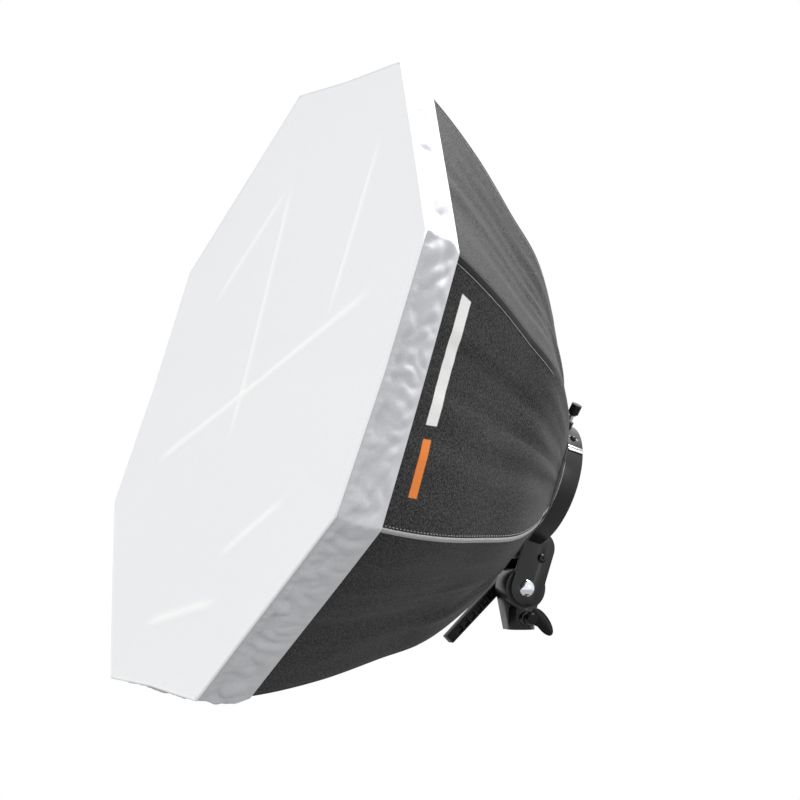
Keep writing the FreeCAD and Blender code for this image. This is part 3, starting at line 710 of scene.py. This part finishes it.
# %% [markdown]
# ## Band round the rim
# A strip of the same nylon turns back over the canopy. An elastic in its front edge puckers it,
# behind that it is drawn in like a waist, and the slack lies in crossing wrinkles. All of this is
# a height above the canopy, so the strip always lies just outside it.

# %% Band
BAND_COLUMNS = 1056
BAND_ROWS = 24
BAND_LIFT = 0.0032
BAND_TURN = 0.012                        # depth over which it leaves the rim
PUCKERS = 216


def band_height(azimuth, back):
    """How far the band stands off the canopy; back is 0 at its front edge and 1 at its rear."""
    around = Vector((math.cos(azimuth) * 16, math.sin(azimuth) * 16, 0))
    beat = noise.noise(around * 2.2 + Vector((0, 0, 2)))
    pucker = math.sin(azimuth * PUCKERS + beat * 5) * 0.0011 * (1 + beat) * bell(back, 0.10, 0.09)
    waist = 0.0036 * bell(back, 0.27, 0.09) * (0.7 + noise.noise(around * 0.7))
    crease = abs(noise.noise(around * 1.2 + Vector((0, 0, back * 2.2)))) * 0.0090
    cross = abs(noise.noise(Vector((around.x * 0.9 + back * 2.1, around.y * 0.9 - back * 1.4, 4)))) * 0.0075
    slack = math.sin(math.pi * min(1.0, back * 0.9 + 0.1))
    puff = math.sin(math.pi * min(1.0, back)) * 0.0022
    return BAND_LIFT + puff + pucker - waist + (crease + cross) * slack


verts = []
for i in range(BAND_ROWS + 1):
    back = i / BAND_ROWS
    for j in range(BAND_COLUMNS):
        azimuth = FIRST_AZIMUTH + 2 * math.pi * j / BAND_COLUMNS
        start = front_depth(azimuth, 1.0)
        depth = start + (SKIRT_DEPTH - start) * back
        laid = ridge_radius(max(0.0, depth), azimuth) * octagon(azimuth) + band_height(azimuth, back)
        share = min(1.0, back * SKIRT_DEPTH / BAND_TURN)
        verts.append(head_point(depth, azimuth, rim_radius(azimuth) * (1 - share) + laid * share))
band = new_object("band", verts, grid_faces(BAND_ROWS + 1, BAND_COLUMNS, closed=True), [SHADED_BAND_NYLON])
wall = band.modifiers.new("wall", "SOLIDIFY")
wall.thickness = 0.0006
wall.offset = -1
bake(band)
smooth(band)
band.data.set_sharp_from_angle(angle=math.radians(60))
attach(band, "diffuser")
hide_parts("diffuser_skirt")

# %% [markdown]
# ## Cords and stitches
# Thin edge cords and rows of stitches follow the seams and hems, so Geometry Nodes sweeps or
# repeats along a curve, with the sizes as named inputs.

# %% Trees for things that follow a line
def tree_input(tree, name, value):
    socket = tree.interface.new_socket(name=name, in_out="INPUT", socket_type="NodeSocketFloat")
    socket.default_value = value
    return socket.identifier


def new_tree(name):
    tree = bpy.data.node_groups.new(name, "GeometryNodeTree")
    tree.interface.new_socket(name="Line", in_out="INPUT", socket_type="NodeSocketGeometry")
    tree.interface.new_socket(name="Mesh", in_out="OUTPUT", socket_type="NodeSocketGeometry")
    return tree, tree.nodes.new("NodeGroupInput"), tree.nodes.new("NodeGroupOutput")


def end_tree(tree, geometry, output, material):
    realize = tree.nodes.new("GeometryNodeRealizeInstances")
    paint = tree.nodes.new("GeometryNodeSetMaterial")
    paint.inputs["Material"].default_value = material
    tree.links.new(geometry, realize.inputs["Geometry"])
    tree.links.new(realize.outputs["Geometry"], paint.inputs["Geometry"])
    tree.links.new(paint.outputs["Geometry"], output.inputs["Mesh"])


def sweep_tree(name, material):
    """Sweeps a round section of the given radius along a line."""
    tree, source, output = new_tree(name)
    radius = tree_input(tree, "Radius", 0.002)
    circle = tree.nodes.new("GeometryNodeCurvePrimitiveCircle")
    circle.inputs["Resolution"].default_value = 10
    sweep = tree.nodes.new("GeometryNodeCurveToMesh")
    sweep.inputs["Fill Caps"].default_value = True
    tree.links.new(source.outputs["Radius"], circle.inputs["Radius"])
    tree.links.new(source.outputs["Line"], sweep.inputs["Curve"])
    tree.links.new(circle.outputs["Curve"], sweep.inputs["Profile Curve"])
    end_tree(tree, sweep.outputs["Mesh"], output, material)
    return tree, radius


def stitch_tree(name, material):
    """Puts a small stitch every so often along a line."""
    tree, source, output = new_tree(name)
    pitch = tree_input(tree, "Pitch", 0.005)
    resample = tree.nodes.new("GeometryNodeResampleCurve")
    resample.mode = "LENGTH"
    sphere = tree.nodes.new("GeometryNodeMeshUVSphere")
    sphere.inputs["Segments"].default_value = 6
    sphere.inputs["Rings"].default_value = 4
    sphere.inputs["Radius"].default_value = 1.0
    instance = tree.nodes.new("GeometryNodeInstanceOnPoints")
    align = tree.nodes.new("FunctionNodeAlignEulerToVector")
    align.axis = "Z"
    tangent = tree.nodes.new("GeometryNodeInputTangent")
    tree.links.new(source.outputs["Line"], resample.inputs["Curve"])
    tree.links.new(source.outputs["Pitch"], resample.inputs["Length"])
    tree.links.new(tangent.outputs["Tangent"], align.inputs["Vector"])
    tree.links.new(resample.outputs["Curve"], instance.inputs["Points"])
    tree.links.new(sphere.outputs["Mesh"], instance.inputs["Instance"])
    tree.links.new(align.outputs["Rotation"], instance.inputs["Rotation"])
    instance.inputs["Scale"].default_value = (0.00050, 0.00050, 0.0016)
    end_tree(tree, instance.outputs["Instances"], output, material)
    return tree, pitch


WHITE_SWEEP, WHITE_RADIUS = sweep_tree("white hem", WHITE_CLOTH)
GREY_SWEEP, GREY_RADIUS = sweep_tree("grey piping", GREY_TAPE)
STITCHES, STITCH_PITCH = stitch_tree("stitches", THREAD)


def follow(name, points, tree, identifier, value, closed=False):
    """A piece that a tree makes along a line of points."""
    curve = bpy.data.curves.new(name, "CURVE")
    curve.dimensions = "3D"
    spline = curve.splines.new("POLY")
    spline.points.add(len(points) - 1)
    for point, co in zip(spline.points, points):
        point.co = (*co, 1)
    spline.use_cyclic_u = closed
    line = bpy.data.objects.new(name, curve)
    SCENE.collection.objects.link(line)
    modifier = line.modifiers.new("follow", "NODES")
    modifier.node_group = tree
    modifier[identifier] = value
    return smooth(bake(line))


# %% [markdown]
# ## Tapes on the ridges
# A tape is sewn over each ridge seam. It is a narrow grid laid on the cloth, crowned in the
# middle, so it follows every wrinkle below it. One lower seam has a pale tape all the way to the
# ring; the others have a glossy black one that stops short of it.

# %% Tape function
SEAM_ROWS = 72
TAPE_COLUMNS = 7
SEAM_START = SKIRT_DEPTH * 0.8
TAPE_CROWN = 0.0010


def seam_line(k, aside, lift, end=CANOPY_END):
    """Points along the ridge of a rib, moved aside and lifted off the cloth."""
    points = []
    for i in range(SEAM_ROWS):
        depth = SEAM_START + (end - SEAM_START) * i / (SEAM_ROWS - 1)
        azimuth = rib_azimuth(k) + aside / line_radius(depth)
        points.append(head_point(depth - lift * 0.4, azimuth, panel_radius(azimuth, depth) + lift * 0.8))
    return points


def tape(name, k, edges, end, material):
    """A crowned tape between two distances aside of the ridge."""
    columns = []
    for j in range(TAPE_COLUMNS):
        across = j / (TAPE_COLUMNS - 1)
        lift = 0.0003 + TAPE_CROWN * math.sin(math.pi * across) ** 0.5
        columns.append(seam_line(k, edges[0] + (edges[1] - edges[0]) * across, lift, end))
    verts = [columns[j][i] for i in range(SEAM_ROWS) for j in range(TAPE_COLUMNS)]
    piece = new_object(name, verts, grid_faces(SEAM_ROWS, TAPE_COLUMNS), [material])
    wall = piece.modifiers.new("wall", "SOLIDIFY")
    wall.thickness = 0.0006
    wall.offset = -1
    bake(piece)
    smooth(piece)
    piece.data.set_sharp_from_angle(angle=math.radians(50))
    return piece


# %% Tapes, edge cords and stitches
PALE_SEAM = LOOSE_RIB
TAPE_END = {1: 0.255, 2: 0.305, 7: 0.247}
USUAL_END = 0.250
for k in range(1, RIBS + 1):
    end = TAPE_END.get(k, USUAL_END)
    if k == PALE_SEAM:
        sewn = [tape(f"binding_{k}", k, (-0.0034, 0.0022), CANOPY_END, GREY_TAPE),
                follow(f"stitches_{k}", seam_line(k, 0.0040, 0.0004), STITCHES, STITCH_PITCH, 0.0052)]
    else:
        sewn = [tape(f"binding_{k}", k, (-0.0080, 0.0012), end, BLACK_TAPE),
                follow(f"edge_cord_{k}", seam_line(k, -0.0084, 0.0005, end), GREY_SWEEP, GREY_RADIUS,
                       0.0004)]
    for piece in sewn:
        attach(piece, f"rib_{k}")
print("seams:", RIBS, "of which pale:", PALE_SEAM)

# %% Hem at the ring
HEM_POINTS = 96
hem_radius = ridge_radius(CANOPY_END) * NECK_LINE[-1][1] + 0.0006
hem_line = [head_point(0.3710, 2 * math.pi * i / HEM_POINTS, hem_radius) for i in range(HEM_POINTS)]
hem = follow("ring_hem", hem_line, GREY_SWEEP, GREY_RADIUS, 0.0009, closed=True)
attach(hem, "head")
print("hem length", round(2 * math.pi * hem_radius, 3))

# %% Rolled hem between front and band
rim_line = []
for i in range(FRONT_COLUMNS):
    azimuth = FIRST_AZIMUTH + 2 * math.pi * i / FRONT_COLUMNS
    rim_line.append(head_point(front_depth(azimuth, 1.0) + 0.001, azimuth, rim_radius(azimuth) + 0.0006))
front_hem = follow("front_hem", rim_line, WHITE_SWEEP, WHITE_RADIUS, 0.0018, closed=True)
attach(front_hem, "diffuser")

# %% [markdown]
# ## Floor, light and camera
# A pale floor lies well below the stand's socket. The surround is white down to just below the
# horizon and dimmer under it, a broad lamp hangs nearly overhead, and two weak ones fill in. The
# overhead lamp doesn't light the floor, so the floor throws little of it back up.

# %% Stage
FLOOR_DROP = 1.1
FLOOR_HALF = 4.5
floor_z = CAD_BOX[0][2] - FLOOR_DROP
floor_mesh = bpy.data.meshes.new("floor")
floor_corners = [(x * FLOOR_HALF, y * FLOOR_HALF, floor_z) for x, y in ((-1, -1), (1, -1), (1, 1), (-1, 1))]
floor_mesh.from_pydata(floor_corners, [], [(0, 1, 2, 3)])
floor = bpy.data.objects.new("floor", floor_mesh)
SCENE.collection.objects.link(floor)
floor_mesh.materials.append(finish("pale floor", (0.50, 0.50, 0.50), (0.53, 0.53, 0.53), 0.9, 0.3, 0.0001))

# %% Surround
BELOW_HORIZON = 0.35
world = bpy.data.worlds.new("surround")
SCENE.world = world
world.use_nodes = True
background = world.node_tree.nodes["Background"]
toward = world.node_tree.nodes.new("ShaderNodeTexCoord")
height = world.node_tree.nodes.new("ShaderNodeSeparateXYZ")
fade = world.node_tree.nodes.new("ShaderNodeMapRange")
fade.inputs["From Min"].default_value = -0.6
fade.inputs["From Max"].default_value = -0.2
fade.inputs["To Min"].default_value = BELOW_HORIZON
fade.inputs["To Max"].default_value = 1.0
world.node_tree.links.new(toward.outputs["Generated"], height.inputs["Vector"])
world.node_tree.links.new(height.outputs["Z"], fade.inputs["Value"])
world.node_tree.links.new(fade.outputs["Result"], background.inputs["Strength"])
background.inputs["Color"].default_value = (1, 1, 1, 1)

# %% Lamps
not_on_floor = bpy.data.collections.new("not on floor")
not_on_floor.objects.link(floor)
not_on_floor.collection_objects[0].light_linking.link_state = "EXCLUDE"


def area_light(name, place, target, size, power):
    data = bpy.data.lights.new(name, "AREA")
    data.shape = "DISK"
    data.size = size
    data.energy = power
    light = bpy.data.objects.new(name, data)
    light.location = place
    light.rotation_euler = (Vector(target) - Vector(place)).to_track_quat("-Z", "Y").to_euler()
    SCENE.collection.objects.link(light)
    return light


TARGET = (0, -0.1, 0.25)
top_light = area_light("top", (0.0, 1.15, 2.6), TARGET, 1.4, 150)
top_light.light_linking.receiver_collection = not_on_floor
area_light("side", (2.4, 1.4, 0.9), TARGET, 1.0, 5)
area_light("front", (1.2, -2.4, 1.2), TARGET, 1.6, 3)

# %% Camera
CAMERA_AT = Vector((3.502, -1.622, 0.202))
CAMERA_LOOK = Vector((-0.9223, 0.3858, 0.0192))
camera_data = bpy.data.cameras.new("camera")
camera_data.lens = 144
camera_data.sensor_width = 36
camera = bpy.data.objects.new("camera", camera_data)
camera.location = CAMERA_AT
camera.rotation_euler = CAMERA_LOOK.to_track_quat("-Z", "Y").to_euler()
SCENE.collection.objects.link(camera)
SCENE.camera = camera
SCENE.view_settings.view_transform = "Standard"
print("camera looks along", tuple(CAMERA_LOOK))
